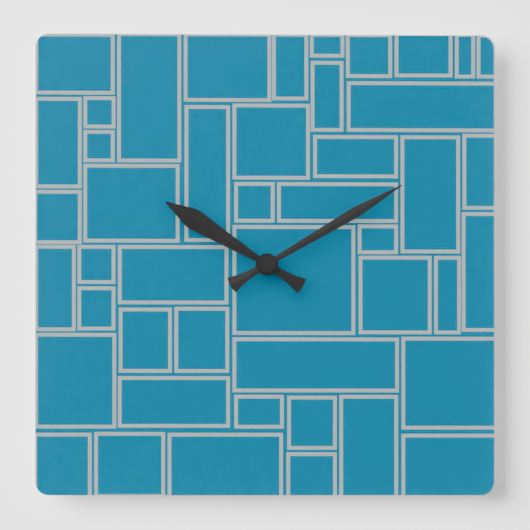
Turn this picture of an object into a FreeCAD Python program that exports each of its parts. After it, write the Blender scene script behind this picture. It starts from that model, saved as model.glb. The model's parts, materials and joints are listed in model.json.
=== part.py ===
import FreeCAD, Part
import math
import os
import Sketcher

# Square wall clock: a clear panel with a printed film behind it, clamped on the threaded
# neck of a quartz movement. Millimetres. X is right and Z is up on the dial, the face looks
# along -Y, and the wall is the plane Y = 0. The origin is on the hands' axis, at the wall.
# A "station" is a distance from the wall, so a station of 10 is the plane Y = -10.
# Every piece is drawn face up: its own Z points out of the dial, its own Y up the dial.

Vector = FreeCAD.Vector
FACE_UP = FreeCAD.Rotation(Vector(1, 0, 0), 90)

SIZES = {
    # panel and film
    "panel_side": 273.0,
    "panel_thickness": 6.0,
    "panel_corner": 8.0,
    "panel_edge": 0.2,
    "film_thickness": 0.25,
    "neck_clearance": 0.15,
    # movement case and cover
    "case_corner": 3.0,
    "case_wall": 1.4,
    "room_width": 53.2,
    "room_rise": 26.6,
    "room_drop": 10.5,
    "room_depth": 13.0,
    "plate_thickness": 1.6,
    "partition_thickness": 1.2,
    "cover_thickness": 1.6,
    "window_clearance": 0.5,
    "hook_thickness": 1.0,
    "hook_width": 6.0,
    "hook_length": 3.4,
    "hook_height": 8.0,
    "hook_clearance": 0.1,
    # hanging eye above the case
    "eye_width": 18.0,
    "eye_height": 13.0,
    "eye_thickness": 2.2,
    "eye_round": 3.0,
    "eye_rise": 5.0,
    "eye_radius": 4.0,
    "eye_slot_radius": 1.7,
    "eye_slot_rise": 4.5,
    # battery bay and cell
    "cell_radius": 7.25,
    "cell_length": 49.5,
    "nub_radius": 2.75,
    "nub_height": 1.0,
    "wrap_thickness": 0.2,
    "wrap_margin": 0.4,
    "bay_clearance": 0.2,
    "bay_floor": 0.8,
    "contact_thickness": 0.4,
    "contact_width": 9.0,
    "bow_height": 1.9,
    # neck, washers and nut
    "neck_radius": 3.95,
    "neck_collar_radius": 5.2,
    "neck_collar": 0.5,
    "thread_showing": 0.9,
    "rubber_radius": 14.0,
    "rubber_thickness": 1.6,
    "washer_radius": 5.9,
    "washer_thickness": 0.5,
    "nut_flats": 10.0,
    "nut_thickness": 2.2,
    # shaft and tubes
    "running_clearance": 0.08,
    "pivot_clearance": 0.05,
    "shaft_radius": 1.6,
    "shaft_tip_radius": 1.4,
    "shaft_bore_clearance": 0.08,
    "tube_wall": 0.87,
    # hands
    "minute_angle": 59.6,
    "minute_length": 93.0,
    "minute_shoulder": 61.5,
    "minute_half_width": 3.3,
    "minute_waist": 1.65,
    "hour_angle": 301.6,
    "hour_length": 70.5,
    "hour_shoulder": 51.5,
    "hour_half_width": 6.3,
    "hour_waist": 1.85,
    "shoulder_round": 2.5,
    "tip_half_width": 0.35,
    "tail_length": 24.2,
    "tail_half_width": 5.0,
    "tail_waist": 2.1,
    "tail_flare": 67.0,
    "tail_end_radius": 13.5,
    "hub_radius": 6.5,
    "hub_overlap": 0.5,
    "hand_sheet": 0.4,
    "hand_crease": 0.15,
    "hand_clearance": 0.4,
    "hour_hand_gap": 0.5,
    "collet_height": 1.0,
    "collet_wall": 0.9,
    "cap_radius": 5.1,
    "cap_height": 3.0,
    "cap_dish_radius": 4.3,
    "cap_dish": 0.3,
    "tip_length": 2.0,
    # motion work, from the centre
    "minute_wheel_distance": 9.6,
    "minute_wheel_angle": -15.0,
    "cannon_teeth": 12,
    "minute_wheel_teeth": 36,
    "minute_pinion_teeth": 10,
    "hour_wheel_teeth": 40,
    "knob_radius": 5.5,
    "knob_thickness": 2.2,
    "knob_recess": 0.5,
    "knob_bore_depth": 1.5,
    "knob_flute_radius": 0.6,
    "knob_flutes": 18,
    "knob_arbor_radius": 0.7,
    # going train
    "third_distance": 9.0,
    "third_angle": 150.0,
    "fifth_distance": 8.8,
    "fifth_angle": 60.0,
    "rotor_distance": 6.0,
    "rotor_angle": 45.0,
    "centre_wheel_teeth": 64,
    "third_pinion_teeth": 8,
    "third_wheel_teeth": 60,
    "seconds_pinion_teeth": 8,
    "seconds_wheel_teeth": 60,
    "fifth_pinion_teeth": 10,
    "fifth_wheel_teeth": 40,
    "rotor_pinion_teeth": 8,
    "arbor_radius": 0.4,
    "rotor_staff_radius": 0.3,
    "pivot_depth": 0.6,
    "pivot_end_gap": 0.2,
    "wheel_thickness": 0.8,
    "pinion_overhang": 0.2,
    "fifth_station": 3.0,
    "seconds_station": 5.0,
    "third_station": 7.0,
    "centre_station": 9.9,
    "minute_station": 11.3,
    "hour_station": 13.0,
    "seconds_arbor_end": 20.0,
    "clutch_thickness": 0.5,
    "clutch_radius": 3.2,
    "shaft_flange": 0.5,
    "shaft_flange_radius": 2.2,
    # bridge and its screws
    "bridge_station": 6.1,
    "bridge_thickness": 0.6,
    "bridge_margin": 1.8,
    "pass_clearance": 0.4,
    "pillar_radius": 1.5,
    "left_pillar_x": -19.0,
    "right_pillar_x": 19.0,
    "side_pillar_z": 2.0,
    "low_pillar_x": -10.0,
    "low_pillar_z": -8.3,
    "screw_radius": 0.75,
    "screw_head_radius": 1.4,
    "screw_head": 1.0,
    "screw_grip": 3.0,
    "screw_hole_clearance": 0.05,
    "screw_slot_width": 0.4,
    "screw_slot_depth": 0.4,
    # motor
    "magnet_radius": 2.3,
    "magnet_height": 1.8,
    "magnet_gap": 0.45,
    "stator_station": 8.4,
    "stator_thickness": 0.8,
    "stator_half_span": 13.0,
    "stator_arm_half_width": 2.0,
    "stator_half_height": 3.4,
    "coil_z": 21.5,
    "core_thickness": 1.0,
    "core_end_margin": 1.5,
    "coil_half_length": 10.8,
    "bobbin_flange": 0.6,
    "bobbin_flange_radius": 3.6,
    "bobbin_tube_radius": 2.5,
    "core_fit": 0.05,
    "winding_radius": 3.4,
    # circuit board
    "board_width": 18.0,
    "board_height": 11.5,
    "board_thickness": 1.0,
    "board_station": 8.6,
    "board_gap": 1.0,
    "board_post_radius": 1.3,
    "board_post_inset": 2.6,
    "chip_x": 11.2,
    "chip_drop": 6.9,
    "chip_radius": 3.0,
    "chip_height": 1.2,
    "crystal_radius": 1.0,
    "crystal_length": 6.0,
    "crystal_inset": 2.0,
}


class Size:
    """A size with its number and the formula that ties it to the sheet."""

    def __init__(self, number, formula=None):
        self.number = float(number)
        self.formula = formula if formula else repr(self.number)

    def join(self, other, sign, number):
        other = as_size(other)
        return Size(number(self.number, other.number), f"({self.formula} {sign} {other.formula})")

    def __add__(self, other):
        return self.join(other, "+", lambda a, b: a + b)

    def __radd__(self, other):
        return as_size(other) + self

    def __sub__(self, other):
        return self.join(other, "-", lambda a, b: a - b)

    def __rsub__(self, other):
        return as_size(other) - self

    def __mul__(self, other):
        return self.join(other, "*", lambda a, b: a * b)

    def __rmul__(self, other):
        return as_size(other) * self

    def __truediv__(self, other):
        return self.join(other, "/", lambda a, b: a / b)

    def __neg__(self):
        return Size(-self.number, f"(-1 * {self.formula})")


def as_size(value):
    return value if isinstance(value, Size) else Size(value)


def larger(one, other):
    return Size(max(one.number, other.number), f"max({one.formula}; {other.formula})")


class Sheet:
    """The driving sizes, read as attributes: size.panel_side."""

    def __init__(self, document):
        cells = document.addObject("Spreadsheet::Sheet", "sizes")
        for row, (name, value) in enumerate(SIZES.items(), start=1):
            cells.set(f"A{row}", name)
            cells.set(f"B{row}", str(value))
            cells.setAlias(f"B{row}", name)
        document.recompute()
        for name in SIZES:
            setattr(self, name, Size(cells.get(name), f"sizes.{name}"))


def polar(distance, angle, x=0, z=0):
    """The point at a distance and an angle from (x, z), angles in degrees from +X."""
    across = Size(math.cos(math.radians(angle.number)), f"cos({angle.formula})")
    up = Size(math.sin(math.radians(angle.number)), f"sin({angle.formula})")
    return as_size(x) + distance * across, as_size(z) + distance * up


doc = FreeCAD.newDocument("wall_clock")
size = Sheet(doc)

# ---------------------------------------------------------------- stations and places

CASE_BACK = size.cover_thickness
PLATE_BACK = CASE_BACK + size.room_depth
PLATE_FRONT = PLATE_BACK + size.plate_thickness
FILM_BACK = PLATE_FRONT + size.rubber_thickness
PANEL_BACK = FILM_BACK + size.film_thickness
PANEL_FRONT = PANEL_BACK + size.panel_thickness
NUT_BACK = PANEL_FRONT + size.washer_thickness
NECK_END = NUT_BACK + size.nut_thickness + size.thread_showing
COLLET_BACK = NECK_END + size.hour_hand_gap
HOUR_FRONT = COLLET_BACK + size.collet_height + size.hand_sheet
HAND_LIFT = size.hand_clearance + size.hand_crease * size.tail_half_width
MINUTE_FRONT = HOUR_FRONT + HAND_LIFT + size.hand_sheet
SHAFT_END = MINUTE_FRONT + size.tip_length
PIVOT_FRONT = PLATE_BACK + size.pivot_depth
PIVOT_BACK = CASE_BACK - size.pivot_depth
BRIDGE_FRONT = size.bridge_station + size.bridge_thickness
CORE_BACK = size.stator_station + size.stator_thickness

# the case's outline follows from the gear room and from the battery bay below it
HALF_ROOM = size.room_width / 2
HALF_BAY = (size.cell_length + size.nub_height + 2 * size.contact_thickness + size.bow_height) / 2
HALF_CASE = larger(HALF_ROOM, HALF_BAY) + size.case_wall
CASE_TOP = size.room_rise + size.case_wall
BAY_TOP = -size.room_drop - size.partition_thickness
CELL_Z = BAY_TOP - size.bay_clearance - size.cell_radius
BAY_BOTTOM = CELL_Z - size.cell_radius - size.bay_clearance
CASE_BOTTOM = BAY_BOTTOM - size.case_wall
CELL_END = HALF_BAY - size.contact_thickness
CELL_START = CELL_END - size.nub_height - size.cell_length
CELL_STATION = PLATE_FRONT - size.bay_floor - size.bay_clearance - size.cell_radius
EYE_Z = CASE_TOP + size.eye_rise

CENTRE = (Size(0), Size(0))
THIRD = polar(size.third_distance, size.third_angle)
FIFTH = polar(size.fifth_distance, size.fifth_angle)
ROTOR = polar(size.rotor_distance, size.rotor_angle, *FIFTH)
KNOB = polar(size.minute_wheel_distance, size.minute_wheel_angle)
PILLARS = [
    (size.left_pillar_x, size.side_pillar_z),
    (size.right_pillar_x, size.side_pillar_z),
    (size.low_pillar_x, size.low_pillar_z),
]
STATOR_SCREWS = [
    (ROTOR[0] - size.stator_half_span, size.coil_z),
    (ROTOR[0] + size.stator_half_span, size.coil_z),
]
BOARD_LEFT = size.board_gap - HALF_ROOM
BOARD_TOP = size.room_rise - size.board_gap
BOARD_POSTS = [
    (BOARD_LEFT + size.board_post_inset, BOARD_TOP - size.board_height + size.board_post_inset),
    (BOARD_LEFT + size.board_width - size.board_post_inset, BOARD_TOP - size.board_post_inset),
]
TUBE_BORE = size.shaft_radius + size.running_clearance
TUBE_RADIUS = TUBE_BORE + size.tube_wall
SHAFT_BORE = size.arbor_radius + size.shaft_bore_clearance

# ---------------------------------------------------------------- document helpers

TOUCH = 1e-6


def bind(thing, prop, value):
    """Sets a property from a size and ties it to the sheet."""
    value = as_size(value)
    setattr(thing, prop, value.number)
    thing.setExpression(prop, value.formula)


def place(thing, x, station, z, turn=FACE_UP):
    """Puts a piece's own origin at (x, z) on the dial, at its station."""
    base = [as_size(x), -as_size(station), as_size(z)]
    thing.Placement = FreeCAD.Placement(Vector(*[part.number for part in base]), turn)
    for axis, part in zip("xyz", base):
        thing.setExpression(f"Placement.Base.{axis}", part.formula)


def new_body(name):
    body = doc.addObject("PartDesign::Body", name)
    body.Label = name
    return body


def new_sketch(body, role, height=0):
    """A sketch on one of the body's own origin planes, raised along the plane's normal."""
    sketch = body.newObject("Sketcher::SketchObject", f"{body.Name}_sketch")
    plane = [item for item in body.Origin.OriginFeatures if item.Role == role][0]
    sketch.AttachmentSupport = [(plane, "")]
    sketch.MapMode = "FlatFace"
    height = as_size(height)
    sketch.AttachmentOffset = FreeCAD.Placement(Vector(0, 0, height.number), FreeCAD.Rotation())
    sketch.setExpression("AttachmentOffset.Base.z", height.formula)
    return sketch


def constrain(sketch, kind, targets, value):
    value = as_size(value)
    index = sketch.addConstraint(Sketcher.Constraint(kind, *targets, value.number))
    sketch.setExpression(f"Constraints[{index}]", value.formula)


def arc_through(start, end, radius):
    """The short arc between two points, to the left of a radius above 0."""
    middle = (start + end) * 0.5
    chord = end - start
    reach = math.sqrt(radius * radius - chord.Length**2 / 4)
    left = Vector(-chord.y, chord.x, 0).normalize()
    centre = middle + left * math.copysign(reach, radius)
    ends = [start - centre, end - centre] if radius > 0 else [end - centre, start - centre]
    angles = [math.atan2(point.y, point.x) for point in ends]
    return Part.ArcOfCircle(Part.Circle(centre, Vector(0, 0, 1), abs(radius)), *angles)


def add_outline(sketch, corners):
    """A closed outline. A corner is (x, y), or (x, y, radius) where an arc leaves it."""
    first = sketch.GeometryCount
    count = len(corners)
    points = [Vector(as_size(c[0]).number, as_size(c[1]).number, 0) for c in corners]
    ends = []
    for index, corner in enumerate(corners):
        start = points[index]
        end = points[(index + 1) % count]
        if len(corner) == 3:
            radius = as_size(corner[2])
            sketch.addGeometry(arc_through(start, end, radius.number), False)
            constrain(sketch, "Radius", [first + index], radius if radius.number > 0 else -radius)
            ends.append((1, 2) if radius.number > 0 else (2, 1))
        else:
            sketch.addGeometry(Part.LineSegment(start, end), False)
            ends.append((1, 2))
    for index, corner in enumerate(corners):
        after = (index + 1) % count
        joint = [first + index, ends[index][1], first + after, ends[after][0]]
        sketch.addConstraint(Sketcher.Constraint("Coincident", *joint))
        here = [-1, 1, first + index, ends[index][0]]
        constrain(sketch, "DistanceX", here, corner[0])
        constrain(sketch, "DistanceY", here, corner[1])


def add_circle(sketch, x, y, radius):
    index = sketch.GeometryCount
    centre = Vector(as_size(x).number, as_size(y).number, 0)
    sketch.addGeometry(Part.Circle(centre, Vector(0, 0, 1), as_size(radius).number), False)
    constrain(sketch, "Radius", [index], radius)
    constrain(sketch, "DistanceX", [-1, 1, index, 3], x)
    constrain(sketch, "DistanceY", [-1, 1, index, 3], y)


def add_rectangle(sketch, left, bottom, right, top):
    add_outline(sketch, [(left, bottom), (right, bottom), (right, top), (left, top)])


def extrude(body, kind, sketch, length, backwards=False, midplane=False):
    feature = body.newObject(f"PartDesign::{kind}", f"{body.Name}_{kind.lower()}")
    feature.Profile = sketch
    bind(feature, "Length", length)
    feature.Reversed = backwards
    feature.Midplane = midplane
    return feature


def pad(body, sketch, length, backwards=False):
    feature = extrude(body, "Pad", sketch, length, backwards)
    doc.recompute()
    return feature


def cut(body, sketch, length, backwards=True, midplane=False):
    """A pocket, by default towards the body's own +Z, that must remove something."""
    before = body.Shape.Volume
    feature = extrude(body, "Pocket", sketch, length, backwards, midplane)
    doc.recompute()
    if not body.Shape.Volume < before - TOUCH:
        raise RuntimeError(f"a pocket of {body.Label} cuts nothing")
    return feature


def turned(name, profile):
    """A piece turned about its own Z from a half section of (radius, height) corners."""
    body = new_body(name)
    sketch = new_sketch(body, "XZ_Plane")
    add_outline(sketch, profile)
    revolution = body.newObject("PartDesign::Revolution", f"{name}_turn")
    revolution.Profile = sketch
    revolution.ReferenceAxis = (sketch, ["V_Axis"])
    revolution.Angle = 360
    doc.recompute()
    return body


def ring(name, bore, radius, thickness):
    """A flat ring or a tube."""
    corners = [(bore, 0), (radius, 0), (radius, thickness), (bore, thickness)]
    return turned(name, corners)


def round_edges(body, feature, radius, wanted):
    """Rounds the feature's edges for which wanted(edge) is true."""
    names = [f"Edge{i}" for i, edge in enumerate(feature.Shape.Edges, start=1) if wanted(edge)]
    fillet = body.newObject("PartDesign::Fillet", f"{body.Name}_fillet")
    fillet.Base = (feature, names)
    bind(fillet, "Radius", radius)
    doc.recompute()
    return fillet


def is_upright(edge):
    """True for a straight edge along the piece's own Z."""
    box = edge.BoundBox
    return max(box.XLength, box.YLength) < TOUCH < box.ZLength


def rounded_plate(body, left, bottom, right, top, thickness, corner):
    sketch = new_sketch(body, "XY_Plane")
    add_rectangle(sketch, left, bottom, right, top)
    plate = pad(body, sketch, thickness)
    return round_edges(body, plate, corner, is_upright)


# ---------------------------------------------------------------- face


def face_panel():
    """Clear sheet with rounded corners, softened edges and a hole for the neck."""
    body = new_body("face_panel")
    half = size.panel_side / 2
    plate = rounded_plate(body, -half, -half, half, half, size.panel_thickness, size.panel_corner)
    round_edges(body, plate, size.panel_edge, lambda edge: not is_upright(edge))
    sketch = new_sketch(body, "XY_Plane")
    add_circle(sketch, 0, 0, size.neck_radius + size.neck_clearance)
    cut(body, sketch, size.panel_thickness)
    place(body, 0, PANEL_BACK, 0)
    return body


def printed_film():
    """Thin printed film on the back of the panel, trimmed where the panel's edge turns."""
    body = new_body("printed_film")
    half = size.panel_side / 2 - size.panel_edge
    corner = size.panel_corner - size.panel_edge
    rounded_plate(body, -half, -half, half, half, size.film_thickness, corner)
    sketch = new_sketch(body, "XY_Plane")
    add_circle(sketch, 0, 0, size.neck_radius + size.neck_clearance)
    cut(body, sketch, size.film_thickness)
    place(body, 0, FILM_BACK, 0)
    return body


def rubber_washer():
    body = ring("rubber_washer", size.neck_radius, size.rubber_radius, size.rubber_thickness)
    place(body, 0, PLATE_FRONT, 0)
    return body


def brass_washer():
    body = ring("brass_washer", size.neck_radius, size.washer_radius, size.washer_thickness)
    place(body, 0, PANEL_FRONT, 0)
    return body


def hex_nut():
    """Six-sided nut. Its corners lie at the flats' half width over the cosine of 30 degrees."""
    body = new_body("hex_nut")
    sketch = new_sketch(body, "XY_Plane")
    corner_radius = size.nut_flats / (2 * math.cos(math.radians(30)))
    corners = []
    for turn in range(6):
        angle = math.radians(60 * turn)
        corners.append((corner_radius * math.cos(angle), corner_radius * math.sin(angle)))
    add_outline(sketch, corners)
    add_circle(sketch, 0, 0, size.neck_radius)
    pad(body, sketch, size.nut_thickness)
    place(body, 0, NUT_BACK, 0)
    return body


# ---------------------------------------------------------------- movement case


def post(body, x, z, radius, tip_station):
    """A round post from a station up to the case's front plate."""
    sketch = new_sketch(body, "XY_Plane", tip_station - CASE_BACK)
    add_circle(sketch, x, z, radius)
    pad(body, sketch, PLATE_BACK - tip_station)


def drill(body, x, z, radius, mouth_height, depth):
    """A round hole from a height in the body, towards the dial."""
    sketch = new_sketch(body, "XY_Plane", mouth_height)
    add_circle(sketch, x, z, radius)
    cut(body, sketch, depth)


def hanging_eye(body):
    """The tab above the case, with a keyhole: round below for a screw's head, narrow above."""
    half = size.eye_width / 2
    sketch = new_sketch(body, "XY_Plane")
    # the tab starts inside the case's wall, so that the two are one solid
    tab_top = CASE_TOP + size.eye_height
    add_rectangle(sketch, -half, size.room_rise, half, tab_top)
    tab = pad(body, sketch, size.eye_thickness)

    def is_tab_corner(edge):
        return is_upright(edge) and abs(edge.BoundBox.YMax - tab_top.number) < TOUCH

    round_edges(body, tab, size.eye_round, is_tab_corner)
    sketch = new_sketch(body, "XY_Plane")
    add_circle(sketch, 0, EYE_Z, size.eye_radius)
    cut(body, sketch, size.eye_thickness)
    sketch = new_sketch(body, "XY_Plane")
    slot = size.eye_slot_radius
    slot_top = EYE_Z + size.eye_slot_rise
    keyhole = [(-slot, EYE_Z), (slot, EYE_Z), (slot, slot_top, slot), (0, slot_top + slot, slot)]
    add_outline(sketch, keyhole + [(-slot, slot_top)])
    cut(body, sketch, size.eye_thickness)


def movement_case():
    """Moulded shell, open at the back: gear room above, battery bay below, posts inside."""
    body = new_body("movement_case")
    depth = size.room_depth + size.plate_thickness
    outline = (-HALF_CASE, CASE_BOTTOM, HALF_CASE, CASE_TOP)
    rounded_plate(body, *outline, depth, size.case_corner)
    sketch = new_sketch(body, "XY_Plane")
    add_rectangle(sketch, -HALF_ROOM, -size.room_drop, HALF_ROOM, size.room_rise)
    cut(body, sketch, size.room_depth)
    sketch = new_sketch(body, "XY_Plane")
    add_rectangle(sketch, -HALF_BAY, BAY_BOTTOM, HALF_BAY, BAY_TOP)
    cut(body, sketch, depth - size.bay_floor)
    for x, z in PILLARS:
        post(body, x, z, size.pillar_radius, BRIDGE_FRONT)
        drill(body, x, z, size.screw_radius, BRIDGE_FRONT - CASE_BACK, size.screw_grip)
    core_front = CORE_BACK + size.core_thickness
    for x, z in STATOR_SCREWS:
        post(body, x, z, size.pillar_radius, core_front)
        drill(body, x, z, size.screw_radius, core_front - CASE_BACK, size.screw_grip)
    for x, z in BOARD_POSTS:
        post(body, x, z, size.board_post_radius, size.board_station + size.board_thickness)
    blind = size.pivot_depth + size.pivot_end_gap
    for (x, z), radius in [
        (THIRD, size.arbor_radius),
        (ROTOR, size.rotor_staff_radius),
        (KNOB, size.knob_arbor_radius),
    ]:
        drill(body, x, z, radius + size.pivot_clearance, size.room_depth, blind)
    drill(body, 0, 0, size.neck_radius, size.room_depth, size.plate_thickness)
    hanging_eye(body)
    place(body, 0, CASE_BACK, 0)
    return body


def rear_cover():
    """Plate that closes the gear room, with windows for the cell and the setting knob."""
    body = new_body("rear_cover")
    outline = (-HALF_CASE, CASE_BOTTOM, HALF_CASE, CASE_TOP)
    rounded_plate(body, *outline, size.cover_thickness, size.case_corner)
    sketch = new_sketch(body, "XY_Plane")
    add_rectangle(sketch, -HALF_BAY, BAY_BOTTOM, HALF_BAY, BAY_TOP)
    add_circle(sketch, *KNOB, size.knob_radius + size.window_clearance)
    cut(body, sketch, size.cover_thickness)
    outer = HALF_ROOM - size.hook_clearance
    low = size.hook_height - size.hook_width / 2
    high = size.hook_height + size.hook_width / 2
    sketch = new_sketch(body, "XY_Plane", size.cover_thickness)
    add_rectangle(sketch, outer - size.hook_thickness, low, outer, high)
    add_rectangle(sketch, -outer, low, size.hook_thickness - outer, high)
    pad(body, sketch, size.hook_length)
    blind = size.pivot_depth + size.pivot_end_gap
    for (x, z), radius in [
        (CENTRE, size.arbor_radius),
        (FIFTH, size.arbor_radius),
        (ROTOR, size.rotor_staff_radius),
    ]:
        drill(body, x, z, radius + size.pivot_clearance, size.cover_thickness - blind, blind)
    place(body, 0, 0, 0)
    return body


def threaded_bush():
    """Brass neck: a collar inside the plate and a long thread through the face."""
    bore = TUBE_RADIUS + size.running_clearance
    length = NECK_END - PLATE_BACK + size.neck_collar
    profile = [
        (bore, 0),
        (size.neck_collar_radius, 0),
        (size.neck_collar_radius, size.neck_collar),
        (size.neck_radius, size.neck_collar),
        (size.neck_radius, length),
        (bore, length),
    ]
    body = turned("threaded_bush", profile)
    place(body, 0, PLATE_BACK - size.neck_collar, 0)
    return body


# ---------------------------------------------------------------- bridge and screws


def train_bridge():
    """Flat plate on three pillars that carries pivots of the going train."""
    body = new_body("train_bridge")
    sketch = new_sketch(body, "XY_Plane")
    margin = size.bridge_margin
    left, right, low = PILLARS
    outline = [
        (left[0] - margin, left[1] - margin),
        (low[0] - margin, low[1] - margin),
        (low[0] + margin, low[1] - margin),
        (KNOB[0] + margin, KNOB[1] - margin),
        (right[0] + margin, right[1] - margin),
        (right[0] + margin, right[1] + margin),
        (FIFTH[0] + margin, FIFTH[1] + margin),
        (FIFTH[0] - margin, FIFTH[1] + margin),
        (THIRD[0], THIRD[1] + margin),
        (left[0] - margin, left[1] + margin),
    ]
    add_outline(sketch, outline)
    pinion_tip = tip_radius(size.third_distance, size.seconds_pinion_teeth, size.third_wheel_teeth)
    add_circle(sketch, 0, 0, pinion_tip + size.pass_clearance)
    add_circle(sketch, *KNOB, size.knob_arbor_radius + size.pass_clearance)
    for x, z in (THIRD, FIFTH):
        add_circle(sketch, x, z, size.arbor_radius + size.pivot_clearance)
    for x, z in PILLARS:
        add_circle(sketch, x, z, size.screw_radius + size.screw_hole_clearance)
    pad(body, sketch, size.bridge_thickness)
    place(body, 0, size.bridge_station, 0)
    return body


def screws(name, places, head_front, grip_station):
    """Slotted screws, heads towards the wall, as one group of separate solids."""
    pieces = []
    shank = grip_station - head_front + size.screw_grip
    for number, (x, z) in enumerate(places, start=1):
        profile = [
            (0, 0),
            (size.screw_head_radius, 0),
            (size.screw_head_radius, size.screw_head),
            (size.screw_radius, size.screw_head),
            (size.screw_radius, size.screw_head + shank),
            (0, size.screw_head + shank),
        ]
        screw = turned(f"{name}_{number}", profile)
        sketch = new_sketch(screw, "XY_Plane")
        half = size.screw_slot_width / 2
        add_rectangle(sketch, -size.screw_head_radius, -half, size.screw_head_radius, half)
        cut(screw, sketch, size.screw_slot_depth)
        place(screw, x, head_front - size.screw_head, z)
        pieces.append(screw)
    group = doc.addObject("Part::Compound", name)
    group.Label = name
    group.Links = pieces
    return group


# ---------------------------------------------------------------- toothed wheels
# A tooth's half width, in tooth pitches, at its root, pitch line and tip. Slim teeth leave
# each mesh the free play that a clock train has.
ROOT_HALF, PITCH_HALF, TIP_HALF = 0.23, 0.19, 0.08
ADDENDUM, DEDENDUM = 0.85, 1.2
# A wheel's web has round holes, their place and size in shares of the wheel's pitch radius.
WHEEL_HOLES = 5
HOLE_PLACE, HOLE_RADIUS = 0.58, 0.22


def tip_radius(distance, teeth, mate_teeth):
    """The tip radius of a gear that meshes with its mate at this centre distance."""
    module = 2 * distance / (teeth + mate_teeth)
    return module * (teeth / 2 + ADDENDUM)


def toothed(distance, teeth, mate_teeth, phase, low, high):
    """A gear between two heights, with a tooth centred on the phase angle, in degrees."""
    count = round(teeth.number)
    module = 2 * distance.number / (count + mate_teeth.number)
    pitch_radius = module * count / 2
    pitch = 360 / count
    flank = [
        (pitch_radius - DEDENDUM * module, -ROOT_HALF),
        (pitch_radius, -PITCH_HALF),
        (pitch_radius + ADDENDUM * module, -TIP_HALF),
        (pitch_radius + ADDENDUM * module, TIP_HALF),
        (pitch_radius, PITCH_HALF),
        (pitch_radius - DEDENDUM * module, ROOT_HALF),
    ]
    points = []
    for tooth in range(count):
        for radius, share in flank:
            angle = math.radians(phase + (tooth + share) * pitch)
            points.append(Vector(radius * math.cos(angle), radius * math.sin(angle), low))
    points.append(points[0])
    face = Part.Face(Part.makePolygon(points))
    return face.extrude(Vector(0, 0, high - low))


def mesh_phase(driver_phase, driver_teeth, line_angle, teeth):
    """The phase that puts a gap of the driven gear on the driver's tooth, along the line of centres."""
    driver_share = (line_angle - driver_phase) * driver_teeth.number / 360
    return line_angle + 180 - (0.5 - driver_share) * 360 / teeth.number


def rod(radius, low, high):
    return Part.makeCylinder(radius, high - low, Vector(0, 0, low))


def lighten(wheel, pitch_radius, low, high):
    """Round holes through a wheel's web."""
    for turn in range(WHEEL_HOLES):
        angle = 2 * math.pi * turn / WHEEL_HOLES
        reach = HOLE_PLACE * pitch_radius
        centre = Vector(reach * math.cos(angle), reach * math.sin(angle), low)
        wheel = wheel.cut(Part.makeCylinder(HOLE_RADIUS * pitch_radius, high - low, centre))
    return wheel


def coded(name, shape, x, z):
    """A piece whose toothed outline follows a formula. Its heights are stations."""
    piece = doc.addObject("Part::Feature", name)
    piece.Label = name
    piece.Shape = shape
    place(piece, x, 0, z)
    return piece


def wheel_and_pinion(name, centre, wheel, wheel_station, pinion, pinion_station, arbor):
    """A wheel, its pinion and their arbor, moulded as one.

    wheel and pinion are (distance, teeth, mate teeth, phase) and arbor is (radius, low, high).
    """
    thickness = size.wheel_thickness.number
    overhang = size.pinion_overhang.number
    low = wheel_station.number
    pitch_radius = wheel[0].number * wheel[1].number / (wheel[1].number + wheel[2].number)
    disc = lighten(toothed(*wheel, low, low + thickness), pitch_radius, low, low + thickness)
    low = pinion_station.number - overhang
    small = toothed(*pinion, low, low + thickness + 2 * overhang)
    shape = disc.fuse([small, rod(*[part.number for part in arbor])]).removeSplitter()
    return coded(name, shape, *centre)


ROTOR_LINE = 180 + size.rotor_angle.number
FIFTH_LINE = 180 + size.fifth_angle.number
FIFTH_PHASE = mesh_phase(0, size.rotor_pinion_teeth, ROTOR_LINE, size.fifth_wheel_teeth)
SECONDS_PHASE = mesh_phase(0, size.fifth_pinion_teeth, FIFTH_LINE, size.seconds_wheel_teeth)
THIRD_PHASE = mesh_phase(
    0, size.seconds_pinion_teeth, size.third_angle.number, size.third_wheel_teeth
)
CENTRE_PHASE = mesh_phase(
    0, size.third_pinion_teeth, 180 + size.third_angle.number, size.centre_wheel_teeth
)
MINUTE_PHASE = mesh_phase(
    0, size.cannon_teeth, size.minute_wheel_angle.number, size.minute_wheel_teeth
)
HOUR_PHASE = mesh_phase(
    0, size.minute_pinion_teeth, 180 + size.minute_wheel_angle.number, size.hour_wheel_teeth
)


def fifth_wheel():
    wheel = (size.rotor_distance, size.fifth_wheel_teeth, size.rotor_pinion_teeth, FIFTH_PHASE)
    pinion = (size.fifth_distance, size.fifth_pinion_teeth, size.seconds_wheel_teeth, 0)
    arbor = (size.arbor_radius, PIVOT_BACK, BRIDGE_FRONT)
    return wheel_and_pinion(
        "fifth_wheel", FIFTH, wheel, size.fifth_station, pinion, size.seconds_station, arbor
    )


def seconds_wheel():
    wheel = (size.fifth_distance, size.seconds_wheel_teeth, size.fifth_pinion_teeth, SECONDS_PHASE)
    pinion = (size.third_distance, size.seconds_pinion_teeth, size.third_wheel_teeth, 0)
    arbor = (size.arbor_radius, PIVOT_BACK, size.seconds_arbor_end)
    return wheel_and_pinion(
        "seconds_wheel", CENTRE, wheel, size.seconds_station, pinion, size.third_station, arbor
    )


def third_wheel():
    wheel = (size.third_distance, size.third_wheel_teeth, size.seconds_pinion_teeth, THIRD_PHASE)
    pinion = (size.third_distance, size.third_pinion_teeth, size.centre_wheel_teeth, 0)
    arbor = (size.arbor_radius, size.bridge_station, PIVOT_FRONT)
    return wheel_and_pinion(
        "third_wheel", THIRD, wheel, size.third_station, pinion, size.centre_station, arbor
    )


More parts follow.
